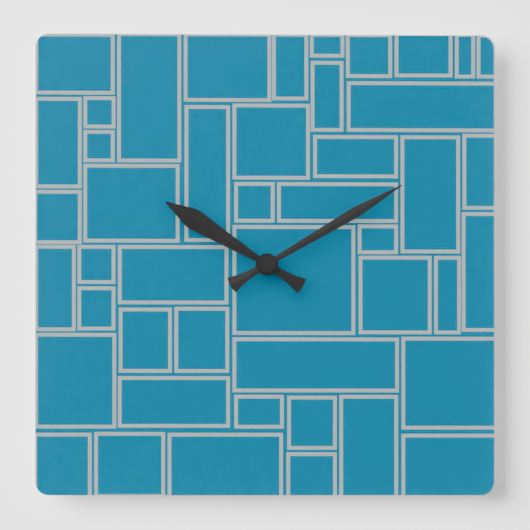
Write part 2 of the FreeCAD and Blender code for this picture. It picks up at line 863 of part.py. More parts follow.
def minute_wheel():
    wheel = (
        size.minute_wheel_distance, size.minute_wheel_teeth, size.cannon_teeth, MINUTE_PHASE
    )
    pinion = (size.minute_wheel_distance, size.minute_pinion_teeth, size.hour_wheel_teeth, 0)
    knob_front = size.knob_recess + size.knob_thickness
    arbor = (size.knob_arbor_radius, knob_front - size.knob_bore_depth, PIVOT_FRONT)
    return wheel_and_pinion(
        "minute_wheel", KNOB, wheel, size.minute_station, pinion, size.hour_station, arbor
    )


def centre_wheel():
    """Driven wheel that slips on the minute shaft when the hands are set."""
    low = size.centre_station.number
    high = low + size.wheel_thickness.number
    teeth = size.centre_wheel_teeth
    disc = toothed(size.third_distance, teeth, size.third_pinion_teeth, CENTRE_PHASE, low, high)
    pitch_radius = size.third_distance.number * teeth.number
    pitch_radius = pitch_radius / (teeth.number + size.third_pinion_teeth.number)
    disc = lighten(disc, pitch_radius, low, high)
    return coded("centre_wheel", disc.cut(rod(size.shaft_radius.number, low, high)), *CENTRE)


def clutch_washer():
    front = size.centre_station + size.wheel_thickness
    body = ring("clutch_washer", size.shaft_radius, size.clutch_radius, size.clutch_thickness)
    place(body, 0, front, 0)
    return body


def minute_shaft():
    """Hollow shaft with a flange, the cannon pinion and a reduced, threaded tip."""
    pinion_low = (size.centre_station + size.wheel_thickness + size.clutch_thickness).number
    pinion_high = (size.minute_station + size.wheel_thickness + size.pinion_overhang).number
    flange_low = (size.centre_station - size.shaft_flange).number
    hand_back = (MINUTE_FRONT - size.hand_sheet).number
    pinion = toothed(
        size.minute_wheel_distance, size.cannon_teeth, size.minute_wheel_teeth, 0,
        pinion_low, pinion_high,
    )
    flange = rod(size.shaft_flange_radius.number, flange_low, size.centre_station.number)
    barrel = rod(size.shaft_radius.number, flange_low, hand_back)
    tip = rod(size.shaft_tip_radius.number, hand_back, SHAFT_END.number)
    bore = rod(SHAFT_BORE.number, flange_low, SHAFT_END.number)
    shape = barrel.fuse([pinion, flange, tip]).cut(bore).removeSplitter()
    return coded("minute_shaft", shape, *CENTRE)


def hour_wheel():
    """Hour wheel on its long tube, which turns in the bush and carries the hour hand."""
    low = size.hour_station.number
    high = low + size.wheel_thickness.number
    distance = size.minute_wheel_distance
    teeth = size.hour_wheel_teeth
    disc = toothed(distance, teeth, size.minute_pinion_teeth, HOUR_PHASE, low, high)
    tube = rod(TUBE_RADIUS.number, low, HOUR_FRONT.number)
    bore = rod(TUBE_BORE.number, low, HOUR_FRONT.number)
    return coded("hour_wheel", disc.fuse(tube).cut(bore).removeSplitter(), *CENTRE)


def setting_knob():
    """Fluted knob that sits in the cover's window."""
    body = new_body("setting_knob")
    sketch = new_sketch(body, "XY_Plane")
    add_circle(sketch, 0, 0, size.knob_radius)
    pad(body, sketch, size.knob_thickness)
    sketch = new_sketch(body, "XY_Plane")
    add_circle(sketch, size.knob_radius, 0, size.knob_flute_radius)
    flute = cut(body, sketch, size.knob_thickness)
    pattern = body.newObject("PartDesign::PolarPattern", "setting_knob_flutes")
    pattern.Originals = [flute]
    axis = [item for item in body.Origin.OriginFeatures if item.Role == "Z_Axis"][0]
    pattern.Axis = (axis, [""])
    pattern.Angle = 360
    pattern.Occurrences = round(size.knob_flutes.number)
    pattern.setExpression("Occurrences", size.knob_flutes.formula)
    body.Tip = pattern
    doc.recompute()
    mouth = size.knob_thickness - size.knob_bore_depth
    drill(body, 0, 0, size.knob_arbor_radius, mouth, size.knob_bore_depth)
    place(body, KNOB[0], size.knob_recess, KNOB[1])
    return body


# ---------------------------------------------------------------- motor


def rotor_pinion():
    """Staff with the driving pinion."""
    low = (size.fifth_station - size.pinion_overhang).number
    high = (size.fifth_station + size.wheel_thickness + size.pinion_overhang).number
    teeth = toothed(
        size.rotor_distance, size.rotor_pinion_teeth, size.fifth_wheel_teeth, 0, low, high
    )
    staff = rod(size.rotor_staff_radius.number, PIVOT_BACK.number, PIVOT_FRONT.number)
    return coded("rotor_pinion", teeth.fuse(staff).removeSplitter(), *ROTOR)


def rotor_magnet():
    body = ring("rotor_magnet", size.rotor_staff_radius, size.magnet_radius, size.magnet_height)
    middle = size.stator_station + size.stator_thickness / 2
    place(body, ROTOR[0], middle - size.magnet_height / 2, ROTOR[1])
    return body


def stator_plate():
    """U of soft iron: the bar goes round the magnet, the arms reach the coil's core."""
    body = new_body("stator_plate")
    sketch = new_sketch(body, "XY_Plane")
    outer = size.stator_half_span + size.stator_arm_half_width
    inner = size.stator_half_span - size.stator_arm_half_width
    low = size.stator_half_height
    screw_y = size.coil_z - ROTOR[1]
    top = screw_y + size.stator_arm_half_width
    outline = [
        (-outer, -low), (outer, -low), (outer, top), (inner, top),
        (inner, low), (-inner, low), (-inner, top), (-outer, top),
    ]
    add_outline(sketch, outline)
    add_circle(sketch, 0, 0, size.magnet_radius + size.magnet_gap)
    for side in (-1, 1):
        hole = size.screw_radius + size.screw_hole_clearance
        add_circle(sketch, side * size.stator_half_span, screw_y, hole)
    pad(body, sketch, size.stator_thickness)
    place(body, ROTOR[0], size.stator_station, ROTOR[1])
    return body


def coil_core():
    """Soft-iron bar through the coil, screwed to the stator's arms."""
    body = new_body("coil_core")
    sketch = new_sketch(body, "XY_Plane")
    half = size.stator_half_span + size.core_end_margin
    width = size.stator_arm_half_width
    add_rectangle(sketch, -half, -width, half, width)
    for side in (-1, 1):
        hole = size.screw_radius + size.screw_hole_clearance
        add_circle(sketch, side * size.stator_half_span, 0, hole)
    pad(body, sketch, size.core_thickness)
    place(body, ROTOR[0], CORE_BACK, size.coil_z)
    return body


# turns a piece's own Z along +X, and its own Y up the dial
ALONG_X = FreeCAD.Rotation(Vector(0, 1, 0), Vector(0, 0, 1), Vector(1, 0, 0), "ZXY")


def place_on_coil(body):
    middle = CORE_BACK + size.core_thickness / 2
    place(body, ROTOR[0] - size.coil_half_length, middle, size.coil_z, ALONG_X)


def coil_bobbin():
    """Spool with a slot for the core."""
    flange = size.bobbin_flange
    length = 2 * size.coil_half_length
    profile = [
        (0, 0),
        (size.bobbin_flange_radius, 0),
        (size.bobbin_flange_radius, flange),
        (size.bobbin_tube_radius, flange),
        (size.bobbin_tube_radius, length - flange),
        (size.bobbin_flange_radius, length - flange),
        (size.bobbin_flange_radius, length),
        (0, length),
    ]
    body = turned("coil_bobbin", profile)
    sketch = new_sketch(body, "XY_Plane")
    half_thickness = size.core_thickness / 2 + size.core_fit
    half_width = size.stator_arm_half_width + size.core_fit
    add_rectangle(sketch, -half_thickness, -half_width, half_thickness, half_width)
    cut(body, sketch, length)
    place_on_coil(body)
    return body


def coil_winding():
    """The wound copper, as one tube between the flanges."""
    low = size.bobbin_flange
    high = 2 * size.coil_half_length - size.bobbin_flange
    profile = [
        (size.bobbin_tube_radius, low),
        (size.winding_radius, low),
        (size.winding_radius, high),
        (size.bobbin_tube_radius, high),
    ]
    body = turned("coil_winding", profile)
    place_on_coil(body)
    return body


# ---------------------------------------------------------------- electronics and cell


def circuit_board():
    body = new_body("circuit_board")
    sketch = new_sketch(body, "XY_Plane")
    add_rectangle(sketch, 0, -size.board_height, size.board_width, 0)
    pad(body, sketch, size.board_thickness)
    place(body, BOARD_LEFT, size.board_station, BOARD_TOP)
    return body


def clock_chip():
    """Domed blob over the chip, on the board's back."""
    radius = size.chip_radius
    height = size.chip_height
    ball = (radius * radius + height * height) / (2 * height)
    profile = [(0, 0, ball), (radius, height), (0, height)]
    body = turned("clock_chip", profile)
    station = size.board_station - height
    place(body, BOARD_LEFT + size.chip_x, station, BOARD_TOP - size.chip_drop)
    return body


def crystal_can():
    """Watch crystal, lying on the board's back."""
    corners = [(0, 0), (size.crystal_radius, 0), (size.crystal_radius, size.crystal_length)]
    body = turned("crystal_can", corners + [(0, size.crystal_length)])
    station = size.board_station - size.crystal_radius
    place(body, BOARD_LEFT + size.crystal_inset, station, BOARD_TOP - size.crystal_inset, ALONG_X)
    return body


def battery_cell():
    """Steel can with its raised contact."""
    can = size.cell_radius - size.wrap_thickness
    profile = [
        (0, 0),
        (can, 0),
        (can, size.cell_length),
        (size.nub_radius, size.cell_length),
        (size.nub_radius, size.cell_length + size.nub_height),
        (0, size.cell_length + size.nub_height),
    ]
    body = turned("battery_cell", profile)
    place(body, CELL_START, CELL_STATION, CELL_Z, ALONG_X)
    return body


def battery_wrap():
    """Sleeve round the can."""
    can = size.cell_radius - size.wrap_thickness
    body = ring("battery_wrap", can, size.cell_radius, size.cell_length - 2 * size.wrap_margin)
    place(body, CELL_START + size.wrap_margin, CELL_STATION, CELL_Z, ALONG_X)
    return body


def positive_contact():
    """Flat plate on the bay's right wall."""
    body = new_body("positive_contact")
    sketch = new_sketch(body, "XY_Plane")
    half = size.contact_width / 2
    add_rectangle(sketch, -half, -half, half, half)
    pad(body, sketch, size.contact_thickness)
    place(body, CELL_END, CELL_STATION, CELL_Z, ALONG_X)
    return body


def negative_contact():
    """Bowed leaf on the bay's left wall: a flat back and a sprung bow that meets the can."""
    body = new_body("negative_contact")
    sketch = new_sketch(body, "XZ_Plane")
    half = size.contact_width / 2
    sheet = size.contact_thickness
    bow = size.bow_height
    foot = half - sheet
    outer = (foot * foot + bow * bow) / (2 * bow)
    inner_foot = foot - sheet
    inner_bow = bow - sheet
    inner = (inner_foot * inner_foot + inner_bow * inner_bow) / (2 * inner_bow)
    outline = [(-half, 0), (half, 0), (half, sheet), (foot, sheet, outer)]
    add_outline(sketch, outline + [(-foot, sheet), (-half, sheet)])
    add_outline(sketch, [(-inner_foot, sheet), (inner_foot, sheet, inner)])
    extrude(body, "Pad", sketch, size.contact_width, midplane=True)
    doc.recompute()
    place(body, -HALF_BAY, CELL_STATION, CELL_Z, ALONG_X)
    return body


# ---------------------------------------------------------------- hands


def hand(name, length, shoulder, half_width, waist, bore, angle, front_station):
    """A creased sheet hand: spear blade up its own Y, flared tail down, flat disc at the hub.

    Its own Z = 0 is the top of the crease.
    """
    body = new_body(name)
    reach = size.hub_radius - size.hub_overlap
    rise = (half_width - waist) / (shoulder - reach)
    tip = size.tip_half_width
    fall = (half_width - tip) / (length - shoulder)
    soft = size.shoulder_round
    bend = 2 * soft / (rise + fall)
    before = (half_width - rise * soft, shoulder - soft)
    after = (half_width - fall * soft, shoulder + soft)
    tail_x = size.tail_half_width
    tail_y = -size.tail_length
    outline = [
        (waist, reach),
        (before[0], before[1], bend),
        (after[0], after[1]),
        (tip, length),
        (-tip, length),
        (-after[0], after[1], bend),
        (-before[0], before[1]),
        (-waist, reach),
        (-size.tail_waist, -reach, -size.tail_flare),
        (-tail_x, tail_y, size.tail_end_radius),
        (tail_x, tail_y, -size.tail_flare),
        (size.tail_waist, -reach),
    ]
    # the blank is thick enough to hold both slopes of the crease
    drop = size.hand_crease * (half_width + tail_x)
    blank = size.hand_sheet + drop
    sketch = new_sketch(body, "XY_Plane", -blank)
    add_outline(sketch, outline)
    pad(body, sketch, blank)
    sketch = new_sketch(body, "XZ_Plane")
    side = half_width + tail_x
    slope = size.hand_crease * side
    sheet = size.hand_sheet
    over = blank + sheet
    under = -blank - slope
    add_outline(sketch, [(-side, -slope), (0, 0), (side, -slope), (side, over), (-side, over)])
    back = -slope - sheet
    add_outline(sketch, [(-side, under), (side, under), (side, back), (0, -sheet), (-side, back)])
    cut(body, sketch, 2 * (length + size.tail_length), midplane=True)
    # the flat disc at the hub, with nothing of the crease left below it
    sketch = new_sketch(body, "XY_Plane", -sheet)
    add_circle(sketch, 0, 0, size.hub_radius)
    pad(body, sketch, sheet)
    sketch = new_sketch(body, "XY_Plane", -blank)
    add_circle(sketch, 0, 0, size.hub_radius)
    cut(body, sketch, blank - sheet)
    sketch = new_sketch(body, "XY_Plane", -sheet)
    add_circle(sketch, 0, 0, bore)
    cut(body, sketch, sheet)
    turn = FreeCAD.Rotation(Vector(0, 1, 0), angle.number).multiply(FACE_UP)
    place(body, 0, front_station, 0, turn)
    return body


def minute_hand():
    return hand(
        "minute_hand", size.minute_length, size.minute_shoulder, size.minute_half_width,
        size.minute_waist, size.shaft_tip_radius, size.minute_angle, MINUTE_FRONT,
    )


def hour_hand():
    return hand(
        "hour_hand", size.hour_length, size.hour_shoulder, size.hour_half_width,
        size.hour_waist, TUBE_RADIUS, size.hour_angle, HOUR_FRONT,
    )


def hour_collet():
    """Short sleeve that grips the hour tube behind the hand."""
    outer = TUBE_RADIUS + size.collet_wall
    body = ring("hour_collet", TUBE_RADIUS, outer, size.collet_height)
    place(body, 0, COLLET_BACK, 0)
    return body


def cap_nut():
    """Closed nut on the shaft's tip, with a shallow dish in its front."""
    bore = size.shaft_tip_radius
    profile = [
        (bore, 0),
        (size.cap_radius, 0),
        (size.cap_radius, size.cap_height),
        (size.cap_dish_radius, size.cap_height),
        (size.cap_dish_radius, size.cap_height - size.cap_dish),
        (0, size.cap_height - size.cap_dish),
        (0, size.tip_length),
        (bore, size.tip_length),
    ]
    body = turned("cap_nut", profile)
    place(body, 0, MINUTE_FRONT, 0)
    return body


# ---------------------------------------------------------------- build, check and write


def build():
    core_front = CORE_BACK + size.core_thickness
    return [
        face_panel(),
        printed_film(),
        movement_case(),
        rear_cover(),
        threaded_bush(),
        rubber_washer(),
        brass_washer(),
        hex_nut(),
        train_bridge(),
        screws("bridge_screws", PILLARS, size.bridge_station, BRIDGE_FRONT),
        circuit_board(),
        clock_chip(),
        crystal_can(),
        coil_core(),
        coil_bobbin(),
        coil_winding(),
        stator_plate(),
        screws("stator_screws", STATOR_SCREWS, size.stator_station, core_front),
        positive_contact(),
        negative_contact(),
        battery_cell(),
        battery_wrap(),
        minute_shaft(),
        centre_wheel(),
        clutch_washer(),
        minute_hand(),
        cap_nut(),
        hour_wheel(),
        hour_collet(),
        hour_hand(),
        minute_wheel(),
        setting_knob(),
        third_wheel(),
        seconds_wheel(),
        fifth_wheel(),
        rotor_pinion(),
        rotor_magnet(),
    ]


def check(pieces):
    doc.recompute()
    for thing in doc.Objects:
        if "Invalid" in thing.State or "Error" in thing.State:
            raise RuntimeError(f"{thing.Label} did not build: {thing.State}")
    for piece in pieces:
        if piece.Shape.isNull() or not piece.Shape.isValid():
            raise RuntimeError(f"{piece.Label} has no valid shape")


def write(pieces):
    os.makedirs("parts", exist_ok=True)
    for piece in pieces:
        piece.Shape.exportStep(f"parts/{piece.Label}.step")
        print(f"{piece.Label:18s} {len(piece.Shape.Solids)} solid, {piece.Shape.Volume:10.2f} mm3")


nodes = build()
check(nodes)
write(nodes)
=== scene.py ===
# %% [markdown]
# # A square wall clock
# The clock is a clear acrylic panel with a print behind it, two creased sheet-metal hands, and a
# quartz movement in a black moulded case at the back. The CAD model already holds every piece in
# its right place and size. Blender adds what CAD leaves out: the print itself, the wound coil,
# the thread and the finish of each surface.
#
# Everything is in metres. +X is right, +Z is up, and the wall is the plane Y = 0, so the face
# looks along -Y.

# %% Load the frame
import json
import math

import bpy
from mathutils import Matrix, Vector

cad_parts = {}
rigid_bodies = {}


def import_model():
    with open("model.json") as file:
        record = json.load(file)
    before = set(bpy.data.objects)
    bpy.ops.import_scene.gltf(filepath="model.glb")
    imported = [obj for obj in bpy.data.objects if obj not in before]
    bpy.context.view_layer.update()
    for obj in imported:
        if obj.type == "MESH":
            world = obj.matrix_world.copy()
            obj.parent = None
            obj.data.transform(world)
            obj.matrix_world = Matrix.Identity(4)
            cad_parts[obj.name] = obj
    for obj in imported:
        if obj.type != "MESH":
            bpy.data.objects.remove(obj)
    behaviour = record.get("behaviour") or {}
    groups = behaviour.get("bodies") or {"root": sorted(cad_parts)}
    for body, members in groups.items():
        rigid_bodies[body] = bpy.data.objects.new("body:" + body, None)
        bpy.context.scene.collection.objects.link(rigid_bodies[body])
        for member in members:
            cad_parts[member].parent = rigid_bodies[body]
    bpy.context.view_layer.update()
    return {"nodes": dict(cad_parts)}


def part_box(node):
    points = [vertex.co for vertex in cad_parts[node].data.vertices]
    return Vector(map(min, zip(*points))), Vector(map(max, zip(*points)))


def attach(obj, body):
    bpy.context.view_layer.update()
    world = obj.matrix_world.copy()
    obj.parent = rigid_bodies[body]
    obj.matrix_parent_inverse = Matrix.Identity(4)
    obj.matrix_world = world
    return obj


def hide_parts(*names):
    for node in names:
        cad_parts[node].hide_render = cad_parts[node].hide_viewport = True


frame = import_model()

nodes = frame["nodes"]
MM = 0.001

# %% [markdown]
# ## Two helpers
# Blender's shaders work in linear light, while the colours of paints and inks are usually noted
# as sRGB hex values. One function turns the one into the other. A second one adds a node to a
# tree together with its settings, its values and its incoming links, so a whole material can be
# read from top to bottom.

# %% Colour and node helpers
def linear(colour):
    """An sRGB hex value such as "#208fae" as linear red, green, blue and alpha."""
    parts = [int(colour[i:i + 2], 16) / 255 for i in (1, 3, 5)]
    return [p / 12.92 if p <= 0.04045 else ((p + 0.055) / 1.055) ** 2.4 for p in parts] + [1.0]


def add_node(tree, kind, settings=None, values=None, links=None):
    """Adds a node. Values and links are {input name or number: value or source socket}."""
    node = tree.nodes.new(kind)
    for name, value in (settings or {}).items():
        setattr(node, name, value)
    for name, value in (values or {}).items():
        node.inputs[name].default_value = value
    for name, source in (links or {}).items():
        tree.links.new(source, node.inputs[name])
    return node


def new_material(name, colour, roughness, values=None):
    """A material with one Principled shader, and that shader, ready for a pattern."""
    material = bpy.data.materials.new(name)
    material.use_nodes = True
    tree = material.node_tree
    tree.nodes.clear()
    values = {"Base Color": linear(colour), "Roughness": roughness} | (values or {})
    shader = add_node(tree, "ShaderNodeBsdfPrincipled", values=values)
    add_node(tree, "ShaderNodeOutputMaterial", links={"Surface": shader.outputs[0]})
    material.diffuse_color = linear(colour)
    return material, shader


print("mid grey #808080 in linear light:", [round(part, 3) for part in linear("#808080")])

# %% [markdown]
# ## Patterns
# No real surface is one flat colour. A moulded plastic takes the fine pitting of its mould, a
# lathe leaves rings, a rolled sheet has a grain. Each of these is a small height pattern, and
# the same pattern also shifts the colour and the gloss a little. The functions below make such a
# pattern from Object coordinates, which are real metres here, so a grain of 0.4 mm is 0.4 mm on
# every piece.

# %% Pattern helpers
def object_place(tree, stretch=(1, 1, 1)):
    """Object coordinates in millimetres, each axis divided by a stretch."""
    source = add_node(tree, "ShaderNodeTexCoord")
    scale = [1 / (MM * part) for part in stretch]
    return add_node(
        tree, "ShaderNodeMapping", values={"Scale": scale}, links={"Vector": source.outputs["Object"]}
    ).outputs[0]


def noise(tree, place, size, detail=2.0):
    """A cloudy pattern whose lumps are about a size in millimetres across."""
    values = {"Scale": 1 / size, "Detail": detail}
    return add_node(tree, "ShaderNodeTexNoise", values=values, links={"Vector": place}).outputs["Fac"]


def lathe_rings(tree, place, pitch, axis="Y"):
    """Rings round an axis through the origin, a pitch in millimetres apart."""
    settings = {"wave_type": "RINGS", "rings_direction": axis, "wave_profile": "SIN"}
    # a wave texture of scale 1 repeats every pi / 10 units
    values = {"Scale": math.pi / 10 / pitch, "Distortion": 0.4, "Detail": 1.0}
    return add_node(tree, "ShaderNodeTexWave", settings, values, {"Vector": place}).outputs["Fac"]


def ridges(tree, place, pitch, axis):
    """Straight ridges across an axis, a pitch in millimetres apart."""
    settings = {"wave_type": "BANDS", "bands_direction": axis, "wave_profile": "SIN"}
    values = {"Scale": math.pi / 10 / pitch}
    return add_node(tree, "ShaderNodeTexWave", settings, values, {"Vector": place}).outputs["Fac"]


def tint(tree, shader, pattern, dark, light, low=0.3, high=0.7):
    """Shifts the shader's colour from dark to light along a pattern."""
    spread = add_node(
        tree, "ShaderNodeMapRange", values={"From Min": low, "From Max": high}, links={"Value": pattern}
    )
    mix = add_node(
        tree, "ShaderNodeMix", {"data_type": "RGBA"}, {"A": linear(dark), "B": linear(light)},
        {"Factor": spread.outputs[0]},
    )
    tree.links.new(mix.outputs["Result"], shader.inputs["Base Color"])


def gloss(tree, shader, pattern, low, high):
    """Shifts the shader's roughness between two values along a pattern."""
    values = {"From Min": 0.3, "From Max": 0.7, "To Min": low, "To Max": high}
    spread = add_node(tree, "ShaderNodeMapRange", values=values, links={"Value": pattern})
    tree.links.new(spread.outputs[0], shader.inputs["Roughness"])


def relief(tree, shader, pattern, height):
    """Raises the surface by a height in millimetres along a pattern."""
    bump = add_node(
        tree, "ShaderNodeBump", values={"Strength": 1.0, "Distance": height * MM}, links={"Height": pattern}
    )
    tree.links.new(bump.outputs[0], shader.inputs["Normal"])


def dress(node_name, material):
    """Gives a CAD node its finish."""
    for material_slot in nodes[node_name].material_slots:
        material_slot.material = material


print("patterns are measured in millimetres on", len(nodes), "CAD nodes")

# %% [markdown]
# ## The clear panel
# The panel is cast acrylic, 6 mm thick. Its index of refraction is 1.49. Acrylic is almost free
# of grain, but a cast sheet is never perfectly flat, so a very faint ripple of a few centimetres
# moves its reflections. Its faces are polished and its edge is machined to a pale satin, so the
# normal picks the finish: where it points along the sheet, the surface is an edge. Light has to
# reach the print through the panel. Cycles would trace that light as noisy caustics, so the
# panel is set to cast no shadow, and the lamps light the print directly.

# %% Cast acrylic
def arithmetic(tree, operation, first, second):
    """A Math node whose two inputs may be numbers or sockets."""
    node = add_node(tree, "ShaderNodeMath", {"operation": operation})
    for index, item in enumerate((first, second)):
        if isinstance(item, (int, float)):
            node.inputs[index].default_value = item
        else:
            tree.links.new(item, node.inputs[index])
    return node.outputs[0]


def make_cast_acrylic():
    values = {"IOR": 1.49, "Specular IOR Level": 0.1}
    material, shader = new_material("cast_acrylic", "#fbfeff", 0.015, values)
    tree = material.node_tree
    place = object_place(tree)
    relief(tree, shader, noise(tree, place, 60.0, 1.0), 0.01)
    normal = add_node(tree, "ShaderNodeTexCoord").outputs["Normal"]
    across = add_node(tree, "ShaderNodeSeparateXYZ", links={"Vector": normal}).outputs["Y"]
    polished = arithmetic(tree, "MULTIPLY", across, across)
    for socket, satin, clear in (("Roughness", 0.4, 0.015), ("Transmission Weight", 0.45, 1.0)):
        values = {"From Min": 0.2, "From Max": 0.6, "To Min": satin, "To Max": clear}
        finish = add_node(tree, "ShaderNodeMapRange", values=values, links={"Value": polished})
        tree.links.new(finish.outputs[0], shader.inputs[socket])
    return material


dress("face_panel", make_cast_acrylic())
nodes["face_panel"].visible_shadow = False

# %% [markdown]
# ## The print's layout
# The face is a mosaic of grey frames on teal. Its frames don't follow a grid, so their places are
# a list: left, top, right and bottom of each frame in millimetres from the panel's top left
# corner. The list was not laid out by hand. A separate program measured the frames on the clock
# that is copied here, and its figures were rounded to half a millimetre. Frames at the rim run
# past it, as a print with bleed does, and are trimmed later.

# %% Frames of the mosaic
MOSAIC = [
    (-0.5, -0.5, 47, 36), (48.5, -1, 86.5, 76), (88, -1, 140, 40), (140.5, -1, 162, 39),
    (163, -1, 183.5, 13.5), (163.5, 15.5, 183, 57.5), (184.5, -1, 212, 25.5), (213.5, -2, 248, 25),
    (249.5, -1.5, 261.5, 25.5), (262.5, -1, 275, 25.5), (185, 27.5, 275, 57.5),
    (-0.5, 37.5, 27.5, 91.5), (28.5, 37, 47.5, 56), (28.5, 57, 47, 76), (-1, 92.5, 27.5, 124.5),
    (28.5, 77, 85.5, 123.5), (88.5, 42, 115.5, 123), (117, 41, 163, 86), (165, 59.5, 215.5, 85),
    (217, 59.5, 252.5, 129.5), (254, 58.5, 275, 103.5), (118, 87.5, 142, 111.5),
    (143.5, 87.5, 215.5, 111.5), (117, 113, 190, 178), (191.5, 112.5, 215.5, 130),
    (192, 131, 235.5, 177.5), (237, 131, 253, 177.5), (253.5, 105, 275, 176), (-0.5, 125, 24, 176),
    (25, 125, 47.5, 148), (25, 149.5, 47.5, 175.5), (49, 125, 114.5, 160), (49.5, 162, 81, 200.5),
    (82.5, 161.5, 115, 200.5), (-0.5, 177, 48, 233.5), (49, 202.5, 115.5, 233),
    (117, 179.5, 216, 212), (217.5, 179, 275, 234), (118, 213.5, 147.5, 233.5),
    (149.5, 214, 179, 246), (180.5, 213.5, 215.5, 275), (149, 247.5, 179, 275),
    (-1, 236, 33.5, 275), (35, 235.5, 77, 274.5), (78.5, 236, 147, 275), (217.5, 236.5, 275, 275),
]
LINE_WIDTH = 2.2 * MM
INK_THICKNESS = 0.04 * MM
PANEL_GAP = 0.05 * MM
FILM_CORNER = 7.8 * MM
NECK_HOLE = 4.1 * MM

panel_low, panel_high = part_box("face_panel")
film_low, film_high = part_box("printed_film")
print(len(MOSAIC), "frames on a face", round((panel_high.x - panel_low.x) / MM, 1), "mm wide")

# %% [markdown]
# ## One point for each frame
# Geometry Nodes can set the same frame on every point of a cloud, so the layout becomes a mesh
# of loose points. Each point lies at its frame's middle and carries the frame's width and height
# in an attribute called span. The mesh is drawn flat, with its own Y up the dial.

# %% Mosaic points
def mosaic_points():
    mesh = bpy.data.meshes.new("print_mosaic")
    middles = []
    spans = []
    for left, top, right, bottom in MOSAIC:
        x = panel_low.x + (left + right) / 2 * MM
        y = panel_high.z - (top + bottom) / 2 * MM
        middles.append((x, y, 0))
        spans += [(right - left) * MM, (bottom - top) * MM, 0]
    mesh.from_pydata(middles, [], [])
    span = mesh.attributes.new("span", "FLOAT_VECTOR", "POINT")
    span.data.foreach_set("vector", spans)
    return mesh


mosaic = bpy.data.objects.new("print_mosaic", mosaic_points())
bpy.context.collection.objects.link(mosaic)
print(len(mosaic.data.vertices), "points carry a span")

# %% [markdown]
# ## Inks and film
# The print is made on a white film with glossy inks, and laid against the acrylic with its inked
# side forward. Under the panel it looks even, so each ink has only a faint mottle about 1.5 mm
# across, and the film's white back shows a fine paper-like grain.

# %% Printed inks
def make_ink(name, dark, light):
    material, shader = new_material(name, dark, 0.4, {"IOR": 1.5, "Specular IOR Level": 0.0})
    tree = material.node_tree
    place = object_place(tree)
    tint(tree, shader, noise(tree, place, 1.5, 3.0), dark, light)
    gloss(tree, shader, noise(tree, place, 4.0), 0.36, 0.44)
    return material


def make_film_back():
    material, shader = new_material("white_polyester_film", "#e8e8e6", 0.5, {"IOR": 1.57})
    tree = material.node_tree
    grain = noise(tree, object_place(tree), 0.8, 3.0)
    tint(tree, shader, grain, "#e3e3e0", "#efefec")
    relief(tree, shader, grain, 0.01)
    return material


teal_ink = make_ink("teal_screen_ink", "#007a9b", "#007fa0")
grey_ink = make_ink("grey_screen_ink", "#aebbba", "#b3c0bf")
white_film = make_film_back()
print("print materials:", teal_ink.name, grey_ink.name, white_film.name)

# %% [markdown]
# ## Growing the print in Geometry Nodes
# A frame could be an instance of a ready frame, but scaling it would scale its line too. So each
# point gets a plain quad of the frame's size, the quad is inset by the line's width along each
# axis, and its middle is deleted: the line then has the same width everywhere. The frames are
# raised by the ink's thickness and trimmed with a rounded outline, and the same outline gives
# the film under them.

# %% A Geometry Nodes tree that draws the print
def new_geometry_tree(name, inputs):
    """A geometry tree with named inputs: (name, socket type, default)."""
    tree = bpy.data.node_groups.new(name, "GeometryNodeTree")
    tree.interface.new_socket("Geometry", in_out="INPUT", socket_type="NodeSocketGeometry")
    for label, kind, default in inputs:
        socket = tree.interface.new_socket(label, in_out="INPUT", socket_type=kind)
        if default is not None:
            socket.default_value = default
    tree.interface.new_socket("Geometry", in_out="OUTPUT", socket_type="NodeSocketGeometry")
    return tree, add_node(tree, "NodeGroupInput").outputs


def scale_along(tree, mesh, faces, axis, share):
    """Scales each of the chosen faces about its own middle along one axis."""
    settings = {"domain": "FACE", "scale_mode": "SINGLE_AXIS"}
    links = {"Geometry": mesh, "Selection": faces, "Scale": share}
    return add_node(tree, "GeometryNodeScaleElements", settings, {"Axis": axis}, links).outputs[0]


def closed_slab(tree, flat, thickness):
    """Raises flat faces along +Z and closes them below."""
    settings = {"mode": "FACES"}
    values = {"Individual": False, "Offset": (0, 0, 1)}
    raised = add_node(tree, "GeometryNodeExtrudeMesh", settings, values,
                      {"Mesh": flat, "Offset Scale": thickness})
    under = add_node(tree, "GeometryNodeFlipFaces", links={"Mesh": flat})
    joined = add_node(tree, "GeometryNodeJoinGeometry")
    tree.links.new(raised.outputs[0], joined.inputs[0])
    tree.links.new(under.outputs[0], joined.inputs[0])
    return add_node(tree, "GeometryNodeMergeByDistance", values={"Distance": 0.001 * MM},
                    links={"Geometry": joined.outputs[0]}).outputs[0]


def moved(tree, mesh, offset):
    links = {"Geometry": mesh, "Translation": offset}
    return add_node(tree, "GeometryNodeTransform", links=links).outputs[0]


def up_by(tree, height):
    return add_node(tree, "ShaderNodeCombineXYZ", links={"Z": height}).outputs[0]


